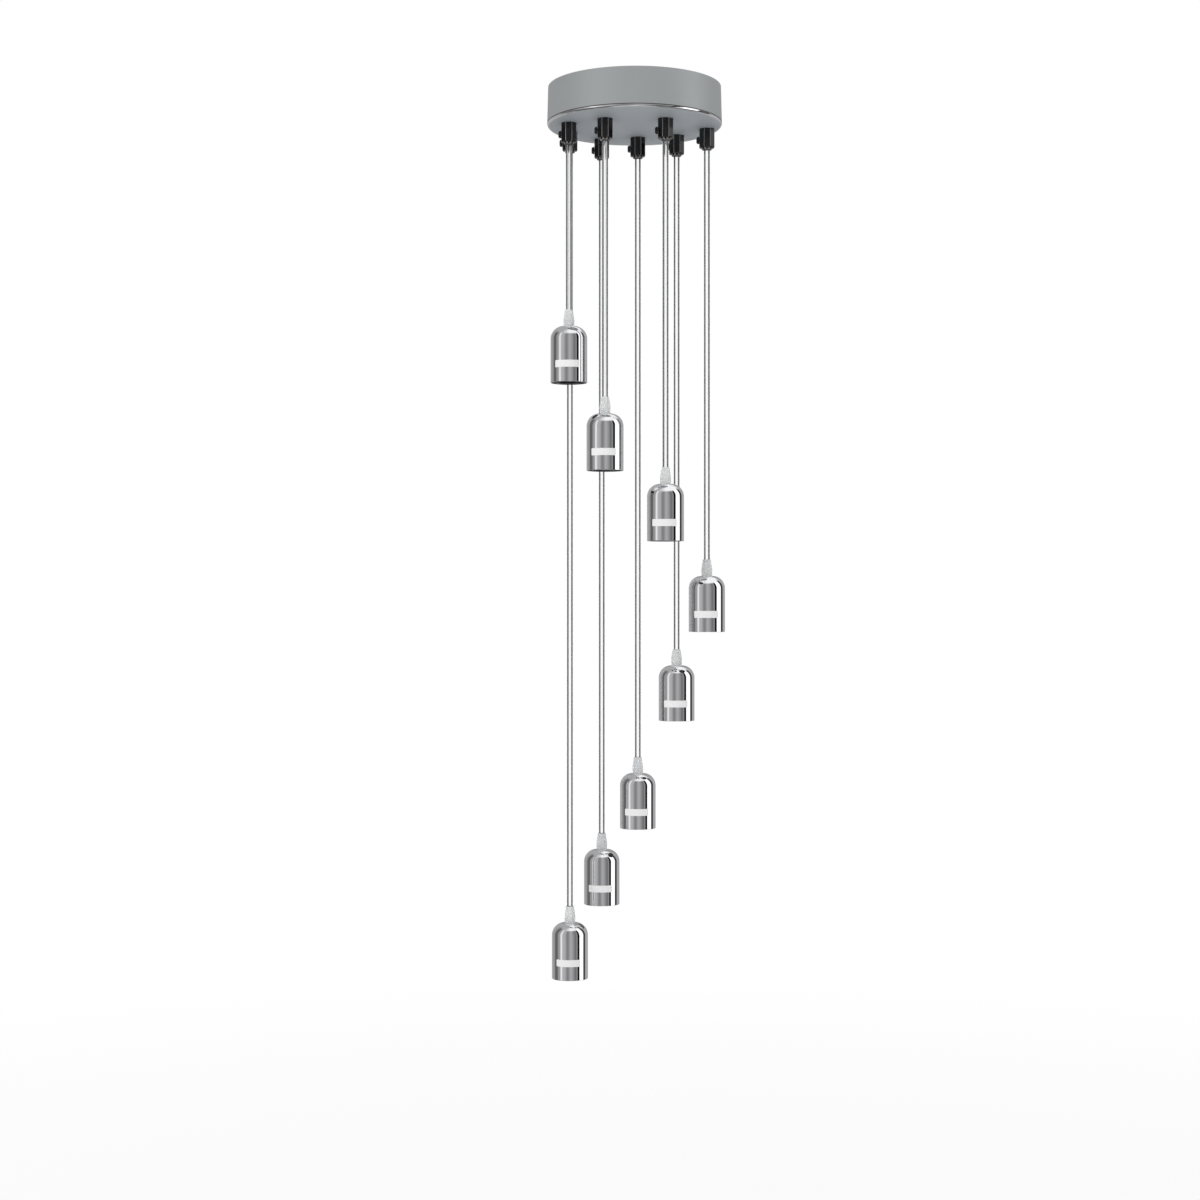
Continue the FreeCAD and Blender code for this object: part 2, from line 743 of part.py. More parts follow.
def make_terminal_clamps():
    """Brass tubes through the poles, two clamping screws in each, and two fixing screws."""
    tube_body = new_body("terminal_tube_master")
    ring = new_sketch(tube_body, "XZ_Plane")
    draw_circle(ring, "tube_radius")
    draw_circle(ring, "tube_bore")
    pad(tube_body, ring, "tube_length", both_ways=True)
    taps = new_sketch(tube_body, "XY_Plane", "tube_radius")
    for sign in (-1, 1):
        draw_circle(taps, "terminal_screw_radius + thread_play", "0",
                    f"{sign} * terminal_screw_offset")
    cut(tube_body, taps, "tube_radius")

    screw = new_body("terminal_screw_master")
    tip = "(core_radius + tip_gap)"
    top = f"({tip} + terminal_screw_length)"
    revolve(screw, [("0", tip), ("terminal_screw_radius", tip),
                    ("terminal_screw_radius", top), ("0", top)])
    drive_slot(screw, "XY_Plane", top, "small_slot_width", "small_slot_depth",
               "terminal_screw_radius * 2.5", reverse=False)

    fixing = new_body("fixing_screw_master")
    seat = "strip_web_height"
    head_top = f"({seat} + fixing_head_height)"
    revolve(fixing, [("0", "tip_gap - strip_boss_height"),
                     ("fixing_screw_radius", "tip_gap - strip_boss_height"),
                     ("fixing_screw_radius", seat), ("fixing_head_radius", seat),
                     ("fixing_head_radius", head_top), ("0", head_top)])
    drive_slot(fixing, "XY_Plane", head_top, "small_slot_width", "small_slot_depth",
               "fixing_head_radius * 2.5", reverse=False)

    pieces = []
    for index in range(len(OUTLETS)):
        pole = f"{index - (len(OUTLETS) - 1) / 2} * pole_pitch"
        pieces.append(copy_of(tube_body, f"terminal_tube_{index + 1}", pole, "0", CORE_LEVEL))
        for side, sign in (("front", -1), ("back", 1)):
            pieces.append(copy_of(screw, f"terminal_screw_{side}_{index + 1}", pole,
                                  f"{sign} * terminal_screw_offset", CORE_LEVEL))
    for side, sign in (("left", -1), ("right", 1)):
        pieces.append(copy_of(fixing, f"fixing_screw_{side}", f"{sign} * {LUG_PLACE}", "0",
                              STRIP_FOOT))
    return group("terminal_clamps", pieces)


# ---------------------------------------------------------------- lampholders


def make_relief_master():
    """A clear eight-sided cone with a belly, bored for the cord and the nipple."""
    body = new_body("relief_master")
    sketches = []
    for radius, level in (("relief_foot_radius", "0"), ("relief_belly_radius", "relief_belly_level"),
                          ("relief_tip_radius", "relief_height")):
        sketch = new_sketch(body, "XY_Plane", level)
        draw_polygon(sketch, 8, f"({radius} * 2)")
        sketches.append(sketch)
    loft = body.newObject("PartDesign::AdditiveLoft", "relief_loft")
    loft.Profile = sketches[0]
    loft.Sections = sketches[1:]
    loft.Ruled = True
    bore = new_sketch(body, "XY_Plane")
    draw_circle(bore, "cord_radius + cord_play")
    cut(body, bore, both_ways=True)
    seat = new_sketch(body, "XY_Plane")
    draw_circle(seat, "nipple_radius + thread_play")
    cut(body, seat, "nipple_rise + tip_gap", reverse=True)
    return body


def make_cup_master():
    """A drawn cup, domed at the top and open at the bottom."""
    body = new_body("cup_master")
    disc = new_sketch(body, "XY_Plane")
    draw_circle(disc, "cup_radius")
    pad(body, disc, "cup_height", reverse=True)
    soften(body, "Fillet", circle_at("cup_radius", "0"), DOME_ROUND)
    doc.recompute()
    mouth = [f"Face{index}" for index, face in enumerate(body.Shape.Faces, start=1)
             if near(face.BoundBox.ZMax, -size("cup_height"))]
    base = body.Tip
    shell = body.newObject("PartDesign::Thickness", "cup_shell")
    shell.Base = (base, mouth)
    shell.setExpression("Value", bound("cup_wall"))
    shell.Reversed = True
    soften(body, "Fillet", circle_at("cup_radius", "-cup_height"), "cup_rim_round")
    hole = new_sketch(body, "XY_Plane")
    draw_circle(hole, "nipple_radius + fit_play")
    cut(body, hole, "cup_wall * 2", both_ways=True)
    return body


def make_insulator_master():
    """The moulded body: a pocket for the screw shell, a window for the terminals, a collar."""
    body = new_body("insulator_master")
    rim = "(-cup_height + insulator_setback)"
    pocket_start = f"({rim} + mouth_depth)"
    stem_hole = "(contact_stem_radius + fit_play)"
    nipple_hole = "(nipple_radius + thread_play)"
    revolve(body, [
        (stem_hole, CONTACT_SEAT), ("contact_well_radius", CONTACT_SEAT),
        ("contact_well_radius", SHELL_SEAT), (POCKET_RADIUS, SHELL_SEAT),
        (POCKET_RADIUS, pocket_start), (MOUTH_RADIUS, pocket_start), (MOUTH_RADIUS, rim),
        (INSULATOR_RADIUS, rim), (INSULATOR_RADIUS, "-insulator_shoulder"),
        ("insulator_neck_radius", "-insulator_neck_level"),
        ("collar_radius", "-insulator_neck_level"), ("collar_radius", "-cup_wall"),
        (nipple_hole, "-cup_wall"), (nipple_hole, "-window_top"), (stem_hole, "-window_top")])
    window = new_sketch(body, "XZ_Plane")
    draw_outline(window, [("-window_width / 2", WINDOW_FLOOR), ("window_width / 2", WINDOW_FLOOR),
                          ("window_width / 2", "-window_top"),
                          ("-window_width / 2", "-window_top")])
    cut(body, window, both_ways=True)
    return body


def make_metalwork_masters():
    """Screw shell, centre contact, nipple and the two terminals of one lampholder."""
    rim = "(-cup_height + insulator_setback + mouth_depth)"
    outside = "(shell_radius + shell_wall)"
    shell = new_body("shell_master")
    revolve(shell, [
        ("shell_radius", rim), (outside, rim), (outside, SHELL_SEAT),
        ("shell_flange_radius", SHELL_SEAT), ("shell_flange_radius", f"{SHELL_SEAT} - shell_wall"),
        ("shell_radius", f"{SHELL_SEAT} - shell_wall")])

    contact = new_body("contact_master")
    stem_top = f"({WINDOW_FLOOR} + contact_stem_end)"
    revolve(contact, [
        ("0", f"{CONTACT_SEAT} - contact_rise"),
        ("contact_radius / 2", f"{CONTACT_SEAT} - contact_rise"),
        ("contact_radius", f"{CONTACT_SEAT} - contact_rise / 3"),
        ("contact_radius", CONTACT_SEAT), ("contact_stem_radius", CONTACT_SEAT),
        ("contact_stem_radius", stem_top), ("0", stem_top)])

    nipple = new_body("nipple_master")
    ring = new_sketch(nipple, "XY_Plane", "-nipple_depth")
    draw_circle(ring, "nipple_radius")
    draw_circle(ring, "nipple_bore")
    pad(nipple, ring, "nipple_depth + nipple_rise")

    block = new_body("block_master")
    slab = new_sketch(block, "XY_Plane", WINDOW_FLOOR)
    draw_box(slab, "block_width", "block_depth", "block_offset")
    pad(block, slab, "block_height")
    screw_level = f"({WINDOW_FLOOR} + block_height / 2)"
    tapped = new_sketch(block, "XZ_Plane")
    draw_circle(tapped, "block_screw_radius + thread_play", "block_offset", screw_level)
    cut(block, tapped, both_ways=True)

    screw = new_body("block_screw_master")
    shank = new_sketch(screw, "XZ_Plane", "tip_gap")
    draw_circle(shank, "block_screw_radius", "block_offset", screw_level)
    pad(screw, shank, "block_screw_length")
    return shell, contact, nipple, block, screw


def make_lampholders():
    """A strain relief, cup, moulded body and metalwork under each cord."""
    relief = make_relief_master()
    cup = make_cup_master()
    insulator = make_insulator_master()
    shell, contact, nipple, block, screw = make_metalwork_masters()
    for number in NUMBERS:
        spot = (outlet_right(number), outlet_behind(number),
                f"{MOUTH_LEVEL} - cord_{number}_length - relief_height")
        for label, master in (("strain_relief", relief), ("holder_cup", cup),
                              ("socket_insulator", insulator)):
            sub_part(copy_of(master, f"{label}_{number}", *spot), f"{label}_{number}")
        metal = [copy_of(shell, f"screw_shell_{number}", *spot),
                 copy_of(contact, f"centre_contact_{number}", *spot),
                 copy_of(nipple, f"nipple_{number}", *spot)]
        for side, turn in (("right", 0.0), ("left", 180.0)):
            metal.append(copy_of(block, f"terminal_block_{side}_{number}", *spot, turn))
            metal.append(copy_of(screw, f"block_screw_{side}_{number}", *spot, turn))
        group(f"socket_metalwork_{number}", metal)


# ---------------------------------------------------------------- checks and files


def check_model():
    """Stop on any failed object and on any sub-part that is empty or not valid."""
    failed = [item.Name for item in doc.Objects
              if "Invalid" in item.State or "Error" in item.State]
    if failed:
        raise ValueError("failed objects: " + ", ".join(failed))
    for piece in sub_parts:
        shape = piece.Shape
        if shape.isNull() or not shape.isValid() or not shape.Solids:
            raise ValueError(piece.Label + " has no valid solid")


def write_files():
    os.makedirs("parts", exist_ok=True)
    for piece in sub_parts:
        piece.Shape.exportStep(os.path.join("parts", piece.Label + ".step"))


make_bracket()
make_earth_screw()
make_canopy()
make_side_screws()
make_grips()
make_lock_nuts()
make_clamp_screws()
make_cords()
make_cord_tails()
make_cores()
make_terminal_strip()
make_terminal_clamps()
make_lampholders()
doc.recompute()
check_model()
write_files()
solid_count = sum(len(piece.Shape.Solids) for piece in sub_parts)
print(f"{len(sub_parts)} sub-parts, {solid_count} solids")
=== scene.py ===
"""Cluster pendant: a chrome canopy, eight cords and lampholders, and the studio round them."""

import math

import bpy
from bpy.props import FloatProperty, FloatVectorProperty, IntProperty, PointerProperty
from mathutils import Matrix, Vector


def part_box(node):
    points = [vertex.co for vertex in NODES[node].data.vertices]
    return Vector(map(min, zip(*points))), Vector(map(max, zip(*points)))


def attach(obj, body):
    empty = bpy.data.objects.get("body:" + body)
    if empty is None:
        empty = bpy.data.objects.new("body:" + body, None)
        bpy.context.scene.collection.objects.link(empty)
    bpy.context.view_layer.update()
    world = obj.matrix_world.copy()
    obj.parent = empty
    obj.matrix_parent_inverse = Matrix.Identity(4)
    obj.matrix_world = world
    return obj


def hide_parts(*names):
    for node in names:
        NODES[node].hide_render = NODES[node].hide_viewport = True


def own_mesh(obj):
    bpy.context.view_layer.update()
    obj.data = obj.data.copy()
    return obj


bl_info = {
    "name": "Cluster Pendant",
    "version": (1, 0, 0),
    "blender": (4, 5, 0),
    "location": "3D View > Sidebar > Pendant",
    "description": "Cords, labels, threads, finishes and a studio for an eight-way cluster pendant",
    "category": "Object",
}

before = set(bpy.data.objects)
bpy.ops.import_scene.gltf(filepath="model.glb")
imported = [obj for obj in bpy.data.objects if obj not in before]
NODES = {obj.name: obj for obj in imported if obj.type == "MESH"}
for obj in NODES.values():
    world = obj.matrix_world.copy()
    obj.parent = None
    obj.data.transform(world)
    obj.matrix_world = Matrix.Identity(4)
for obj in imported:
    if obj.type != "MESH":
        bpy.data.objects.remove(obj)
PENDANTS = range(1, 9)
MM = 0.001
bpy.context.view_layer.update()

# Sizes of the solids in metres. The screw shell's mouth and seat lie that far below the cup's top.
CORD_RADIUS = 3.5 * MM
CUP_RADIUS = 21.0 * MM
SHELL_RADIUS = 13.25 * MM
SHELL_MOUTH = 58.0 * MM
SHELL_SEAT = 37.0 * MM

# Sizes and counts of the pieces that only the visual model has.
WIRE_SIDES = 16
ROUTE_SHARES = (0.0, 0.3, 0.7, 1.0)
LABEL_COLUMNS = 48
LABEL_CORNER_STEPS = 6
LABEL_LIFT = 0.02 * MM
THREAD_SHEET = 0.06 * MM
THREAD_WELD = 0.001 * MM

# The sockets of a Mix node that mixes colours.
MIX_A, MIX_B, MIX_RESULT = 6, 7, 2

FINISHES = {}


def middle(node):
    """The middle of a node's box, seen from above."""
    low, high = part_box(node)
    return (low.x + high.x) / 2, (low.y + high.y) / 2


# ---------------------------------------------------------------- settings

class CordSettings(bpy.types.PropertyGroup):
    """The two tinned wires in each clear cord."""

    wire_radius: FloatProperty(
        name="Wire Radius", description="Radius of one tinned wire", default=0.72 * MM,
        unit="LENGTH")
    wire_offset: FloatProperty(
        name="Wire Offset", description="Distance from the cord's middle to each wire's",
        default=1.7 * MM, unit="LENGTH")
    sides: IntProperty(
        name="Sides", description="Faces round the clear sheath", default=48, min=12)
    rings: IntProperty(
        name="Rings", description="Rings along each cord", default=24, min=4)


class LabelSettings(bpy.types.PropertyGroup):
    """The bare film label on the front of each cup."""

    width: FloatProperty(
        name="Width", description="Length of the label round the cup", default=30.0 * MM,
        unit="LENGTH")
    height: FloatProperty(
        name="Height", description="Height of the label", default=8.0 * MM, unit="LENGTH")
    drop: FloatProperty(
        name="Drop", description="From the cup's top to the label's middle",
        default=44.6 * MM, unit="LENGTH")
    turn: FloatProperty(
        name="Turn", description="How far the label's middle sits from the front, to the left",
        default=math.radians(5.5), subtype="ANGLE")
    film: FloatProperty(
        name="Film", description="Thickness of the film", default=0.08 * MM, unit="LENGTH")
    corner: FloatProperty(
        name="Corner", description="Radius of the label's corners", default=0.9 * MM,
        unit="LENGTH")


class ThreadSettings(bpy.types.PropertyGroup):
    """The rolled round thread in each screw shell."""

    pitch: FloatProperty(
        name="Pitch", description="Rise of the thread in one turn", default=3.629 * MM,
        unit="LENGTH")
    depth: FloatProperty(
        name="Depth", description="Height of the rolled rib", default=0.9 * MM, unit="LENGTH")
    gap: FloatProperty(
        name="Gap", description="Gap between the thread and the shell's wall",
        default=0.12 * MM, unit="LENGTH")
    sides: IntProperty(name="Sides", description="Faces round the thread", default=72, min=24)
    stations: IntProperty(
        name="Stations", description="Faces up the thread and back", default=140, min=40)


class FinishSettings(bpy.types.PropertyGroup):
    """Colours of the main finishes."""

    canopy: FloatVectorProperty(
        name="Canopy", description="The canopy's wall", subtype="COLOR", size=3,
        default=(0.45, 0.468, 0.473), min=0.0, max=1.0)
    # the face's colour is the wall's plate made lighter and bluer: painted bounce light from the
    # floor below
    face: FloatVectorProperty(
        name="Face", description="The canopy's face, with its cord outlets", subtype="COLOR",
        size=3, default=(0.56, 0.60, 0.63), min=0.0, max=1.0)
    cup: FloatVectorProperty(
        name="Cup", description="Mirror-plated cup", subtype="COLOR", size=3,
        default=(0.90, 0.90, 0.905), min=0.0, max=1.0)
    nylon: FloatVectorProperty(
        name="Nylon", description="Black nylon grips", subtype="COLOR", size=3,
        default=(0.004, 0.004, 0.0045), min=0.0, max=1.0)
    label: FloatVectorProperty(
        name="Label", description="White label film", subtype="COLOR", size=3,
        default=(0.84, 0.84, 0.84), min=0.0, max=1.0)
    wire: FloatVectorProperty(
        name="Wire", description="Tinned wire", subtype="COLOR", size=3,
        default=(0.20, 0.20, 0.203), min=0.0, max=1.0)


class StudioSettings(bpy.types.PropertyGroup):
    """Camera, floor, reflected walls and lamps."""

    camera_place: FloatVectorProperty(
        name="Camera", description="Where the level camera stands", subtype="TRANSLATION",
        size=3, default=(-0.0399, -2.383, -0.592))
    lens: FloatProperty(
        name="Lens", description="Focal length in millimetres", default=61.83, min=10.0)
    floor_level: FloatProperty(
        name="Floor", description="Height of the floor", default=-1.55, unit="LENGTH")
    floor_reach: FloatProperty(
        name="Floor Reach", description="Radius of the floor", default=9.0, unit="LENGTH")
    wall_radius: FloatProperty(
        name="Wall Radius", description="Distance of the reflected walls", default=2.4,
        unit="LENGTH")
    sky: FloatProperty(
        name="Sky", description="Level of the soft light from all round", default=0.72,
        min=0.0)
    lamp: FloatProperty(
        name="Lamp", description="Power of the key lamp in watts", default=30.0, min=0.0)


GROUPS = {
    "pendant_cord": CordSettings,
    "pendant_label": LabelSettings,
    "pendant_thread": ThreadSettings,
    "pendant_finish": FinishSettings,
    "pendant_studio": StudioSettings,
}


# ---------------------------------------------------------------- node trees

class Tree:
    """Adds nodes to a tree, with sockets given as values or as other nodes' outputs."""

    def __init__(self, tree):
        self.tree = tree

    def node(self, kind, inputs=None, **settings):
        """A new node of a kind, with its settings and its inputs filled in."""
        made = self.tree.nodes.new(kind)
        for name, value in settings.items():
            setattr(made, name, value)
        for name, value in (inputs or {}).items():
            self.plug(made.inputs[name], value)
        return made

    def plug(self, socket, value):
        """Link the socket if it is given another node's output, or else set its value."""
        if isinstance(value, bpy.types.NodeSocket):
            self.tree.links.new(value, socket)
        else:
            socket.default_value = value

    def maths(self, operation, *values):
        """The output of a Math node."""
        return self.node("ShaderNodeMath", dict(enumerate(values)), operation=operation).outputs[0]


def shape_tree(name, inputs):
    """An empty Geometry Nodes tree with named inputs, and its helper and input node."""
    tree = bpy.data.node_groups.new(name, "GeometryNodeTree")
    tree.interface.new_socket("Geometry", in_out="INPUT", socket_type="NodeSocketGeometry")
    for label, kind, value in inputs:
        socket = tree.interface.new_socket(label, in_out="INPUT", socket_type=kind)
        if value is not None:
            socket.default_value = value
    tree.interface.new_socket("Geometry", in_out="OUTPUT", socket_type="NodeSocketGeometry")
    helper = Tree(tree)
    return helper, helper.node("NodeGroupInput").outputs


def close_tree(helper, geometry, material):
    """Smooth, realise and paint the shape, and hand it to the output."""
    smooth = helper.node("GeometryNodeSetShadeSmooth", {"Geometry": geometry})
    real = helper.node("GeometryNodeRealizeInstances", {"Geometry": smooth.outputs[0]})
    painted = helper.node("GeometryNodeSetMaterial", {
        "Geometry": real.outputs[0], "Material": material})
    helper.node("NodeGroupOutput", {"Geometry": painted.outputs[0]})
    return helper.tree


def grown(name, data, tree, values):
    """The plain mesh object that the tree grows on some data, with the inputs' values."""
    seed = bpy.data.objects.new(name, data)
    bpy.context.scene.collection.objects.link(seed)
    modifier = seed.modifiers.new("Shape", "NODES")
    modifier.node_group = tree
    sockets = {item.name: item.identifier for item in tree.interface.items_tree
               if item.item_type == "SOCKET" and item.in_out == "INPUT"}
    for label, value in values.items():
        modifier[sockets[label]] = value
    evaluated = seed.evaluated_get(bpy.context.evaluated_depsgraph_get())
    mesh = bpy.data.meshes.new_from_object(evaluated)
    seed.modifiers.remove(modifier)
    bpy.data.objects.remove(seed)
    mesh.name = name
    piece = bpy.data.objects.new(name, mesh)
    bpy.context.scene.collection.objects.link(piece)
    return piece


def strand_tree():
    """A round strand that follows a line, set off to one side of it."""
    helper, given = shape_tree("Strand On Line", [
        ("Radius", "NodeSocketFloat", 1.0 * MM), ("Offset", "NodeSocketFloat", 0.0),
        ("Sides", "NodeSocketInt", WIRE_SIDES), ("Rings", "NodeSocketInt", 24),
        ("Material", "NodeSocketMaterial", None)])
    line = helper.node("GeometryNodeResampleCurve", {
        "Curve": given["Geometry"], "Count": given["Rings"]})
    along = helper.node("GeometryNodeSplineParameter")
    kept = helper.node("GeometryNodeStoreNamedAttribute", {
        "Geometry": line.outputs[0], "Name": "along", "Value": along.outputs["Length"]},
        domain="POINT")
    shift = helper.node("ShaderNodeCombineXYZ", {"X": given["Offset"]})
    aside = helper.node("GeometryNodeSetPosition", {
        "Geometry": kept.outputs[0], "Offset": shift.outputs[0]})
    ring = helper.node("GeometryNodeCurvePrimitiveCircle", {
        "Resolution": given["Sides"], "Radius": given["Radius"]})
    round_ring = helper.node("GeometryNodeSplineParameter")
    marked = helper.node("GeometryNodeStoreNamedAttribute", {
        "Geometry": ring.outputs["Curve"], "Name": "around", "Value": round_ring.outputs["Factor"]},
        domain="POINT")
    tube = helper.node("GeometryNodeCurveToMesh", {
        "Curve": aside.outputs[0], "Profile Curve": marked.outputs[0], "Fill Caps": True})
    return close_tree(helper, tube.outputs[0], given["Material"])


def thread_tree():
    """A rolled round thread: an inner wall with a helical rib, and a plain outer wall."""
    helper, given = shape_tree("Rolled Thread", [
        ("Radius", "NodeSocketFloat", SHELL_RADIUS), ("Depth", "NodeSocketFloat", 0.9 * MM),
        ("Pitch", "NodeSocketFloat", 3.6 * MM), ("Length", "NodeSocketFloat", 20.0 * MM),
        ("Sides", "NodeSocketInt", 72), ("Stations", "NodeSocketInt", 140),
        ("Material", "NodeSocketMaterial", None)])
    grid = helper.node("GeometryNodeMeshGrid", {
        "Vertices X": helper.maths("ADD", given["Sides"], 1.0), "Vertices Y": given["Stations"]})
    spot = helper.node("ShaderNodeSeparateXYZ", {"Vector": grid.outputs["UV Map"]})
    angle = helper.maths("MULTIPLY", spot.outputs["X"], math.tau)
    # the grid runs up the inner wall and comes back down the outer one
    inner = helper.maths("LESS_THAN", spot.outputs["Y"], 0.5)
    twice = helper.maths("MULTIPLY", spot.outputs["Y"], 2.0)
    level = helper.maths("PINGPONG", twice, 1.0)
    rise = helper.maths("MULTIPLY", level, given["Length"])
    climb = helper.maths("DIVIDE", rise, given["Pitch"])
    turns = helper.maths("SUBTRACT", climb, spot.outputs["X"])
    wave = helper.maths("COSINE", helper.maths("MULTIPLY", turns, math.tau))
    rib = helper.maths("MULTIPLY_ADD", wave, 0.5, 0.5)
    # the rib fades out over the first and last tenth of the height
    ends = helper.maths("MINIMUM", level, helper.maths("SUBTRACT", 1.0, level))
    fade = helper.maths("MINIMUM", helper.maths("MULTIPLY", ends, 10.0), 1.0)
    depth = helper.maths("MULTIPLY", helper.maths("MULTIPLY", rib, fade), given["Depth"])
    wall = helper.maths("MULTIPLY", helper.maths("ADD", depth, THREAD_SHEET), inner)
    radius = helper.maths("SUBTRACT", given["Radius"], wall)
    place = helper.node("ShaderNodeCombineXYZ", {
        "X": helper.maths("MULTIPLY", radius, helper.maths("COSINE", angle)),
        "Y": helper.maths("MULTIPLY", radius, helper.maths("SINE", angle)), "Z": rise})
    rolled = helper.node("GeometryNodeSetPosition", {
        "Geometry": grid.outputs["Mesh"], "Position": place.outputs[0]})
    closed = helper.node("GeometryNodeMergeByDistance", {
        "Geometry": rolled.outputs[0], "Distance": THREAD_WELD})
    return close_tree(helper, closed.outputs[0], given["Material"])


# ---------------------------------------------------------------- finishes

class Finish:
    """A procedural material: a Principled shader with its own maps on Object coordinates."""

    def __init__(self, name, colour, roughness, metallic=0.0, **sockets):
        self.material = bpy.data.materials.new(name)
        self.material.use_nodes = True
        self.made = Tree(self.material.node_tree)
        self.shader = self.material.node_tree.nodes["Principled BSDF"]
        self.colour = tuple(colour)
        self.roughness = roughness
        self.put("Base Color", (*colour, 1.0))
        self.put("Roughness", roughness)
        self.put("Metallic", metallic)
        for socket, value in sockets.items():
            self.put(socket.replace("_", " "), value)

    def put(self, socket, value):
        """Set or link one input of the shader."""
        self.made.plug(self.shader.inputs[socket], value)
        return self

    def noise(self, scale, stretch=(1.0, 1.0, 1.0), detail=3.0):
        """Noise with about `scale` features in a metre, stretched along the axes."""
        spot = self.made.node("ShaderNodeTexCoord").outputs["Object"]
        mapped = self.made.node("ShaderNodeMapping", {"Vector": spot, "Scale": stretch})
        return self.made.node("ShaderNodeTexNoise", {
            "Vector": mapped.outputs[0], "Scale": scale, "Detail": detail}).outputs["Fac"]

    def between(self, field, low, high, start=0.3, end=0.7):
        """From low to high as the field goes from start to end. The defaults suit noise."""
        return self.made.node("ShaderNodeMapRange", {
            "Value": field, "From Min": start, "From Max": end, "To Min": low,
            "To Max": high}).outputs["Result"]

    def shaded(self, field, share):
        """Vary the colour by a share up and down with the field."""
        low, high = [tuple(min(1.0, c * (1.0 + side * share)) for c in self.colour)
                     for side in (-1.0, 1.0)]
        return self.mixed(self.between(field, 0.0, 1.0), (*low, 1.0), high)

    def blended(self, mask, colour, blend="MIX"):
        """Bring another colour in where the mask is 1."""
        before = self.shader.inputs["Base Color"].links[0].from_socket
        return self.mixed(mask, before, colour, blend)

    def mixed(self, mask, before, colour, blend="MIX"):
        """Mix the base colour from two colours, or from a socket and a colour, by the mask."""
        mix = self.made.node("ShaderNodeMix", data_type="RGBA", blend_type=blend)
        self.made.plug(mix.inputs["Factor"], mask)
        self.made.plug(mix.inputs[MIX_A], before)
        self.made.plug(mix.inputs[MIX_B], (*colour, 1.0))
        return self.put("Base Color", mix.outputs[MIX_RESULT])

    def worn(self, field, share):
        """Vary the roughness by a share up and down with the field."""
        return self.put("Roughness", self.between(
            field, self.roughness * (1.0 - share), self.roughness * (1.0 + share)))

    def raised(self, field, strength, height):
        """Raise the surface with the field, in its shading alone."""
        bump = self.made.node("ShaderNodeBump", {
            "Height": field, "Strength": strength, "Distance": height})
        return self.put("Normal", bump.outputs["Normal"])


def canopy_chrome(colour, face):
    """Satin plate on the wall and face, polished brighter where the edge turns under, with a
    painted dark reflection line above the polish and painted bounce light on the face.
    """
    metallic, roughness, spread, polishing = 0.55, 0.56, 0.03, 0.48
    plate = Finish("canopy_chrome", colour, roughness, metallic)
    clouds = plate.noise(14.0)
    spot = plate.made.node("ShaderNodeSeparateXYZ", {
        "Vector": plate.made.node("ShaderNodeTexCoord").outputs["Object"]})
    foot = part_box("canopy")[0].z

    def ramp(low, high, start, end):
        """From low to high between two heights over the canopy's foot, in millimetres."""
        return plate.between(spot.outputs["Z"], low, high, foot + start * MM, foot + end * MM)

    # the round at the foot is polished; just above it a fine dark line is painted in, a painted
    # reflection of the dark band that a polished edge shows
    polish = ramp(1.0, 0.0, 2.3, 2.9)
    edge = plate.made.maths("MULTIPLY", polish, ramp(0.0, 1.0, 0.03, 0.4))
    line = plate.made.maths("MULTIPLY", ramp(0.0, 1.0, 2.3, 2.7), ramp(1.0, 0.0, 3.4, 4.0))
    plate.shaded(clouds, 0.02)
    # painted reflection: the fine dark line over the polished round
    plate.blended(line, (0.1, 0.1, 0.1), "MULTIPLY")
    plate.blended(edge, (0.95, 0.95, 0.95))
    # painted bounce light: the face under the canopy takes a lighter, bluer colour than the wall
    plate.blended(ramp(1.0, 0.0, 0.02, 0.2), face)
    plate.put("Metallic", plate.made.maths("MULTIPLY_ADD", edge, 1.0 - metallic, metallic))
    plate.put("Roughness", plate.made.maths(
        "SUBTRACT", plate.between(clouds, roughness - spread, roughness + spread),
        plate.made.maths("MULTIPLY", edge, polishing)))
    return plate.raised(plate.noise(900.0, detail=2.0), 0.02, 0.05 * MM).material


def cup_chrome(colour):
    """Mirror plate with the faintest handling marks."""
    plate = Finish("cup_chrome", colour, 0.035, 1.0)
    marks = plate.noise(60.0, detail=5.0)
    return plate.shaded(marks, 0.015).worn(marks, 0.5).material


def black_nylon(colour):
    """Glossy black nylon with a fine skin, with grey highlights painted along the grips' upright
    edges.
    """
    flats, painted_glint_grey = 8.0, (0.31, 0.29, 0.28)
    nylon = Finish("black_nylon", colour, 0.13, Specular_IOR_Level=0.45)
    skin = nylon.noise(700.0)
    facing = nylon.made.node("ShaderNodeSeparateXYZ", {
        "Vector": nylon.made.node("ShaderNodeTexCoord").outputs["Normal"]})
    turn = nylon.made.maths("ARCTAN2", facing.outputs["Y"], facing.outputs["X"])
    # the wave is lowest on the edges between the flats
    wave = nylon.made.maths("COSINE", nylon.made.maths("MULTIPLY", turn, flats))
    nylon.shaded(skin, 0.15).worn(skin, 0.2).raised(skin, 0.03, 0.05 * MM)
    # painted highlight: a grey glint painted along each upright edge between the flats
    return nylon.blended(nylon.between(wave, 1.0, 0.0, -0.9, 0.5), painted_glint_grey).material


def clear_sheath():
    """Clear PVC with a faint draw along its length."""
    sheath = Finish("clear_cord", (0.975, 0.98, 0.985), 0.03, IOR=1.49)
    sheath.put("Transmission Weight", 1.0)
    drawn = sheath.noise(160.0, (1.0, 1.0, 0.02))
    return sheath.worn(drawn, 0.6).shaded(drawn, 0.006).material


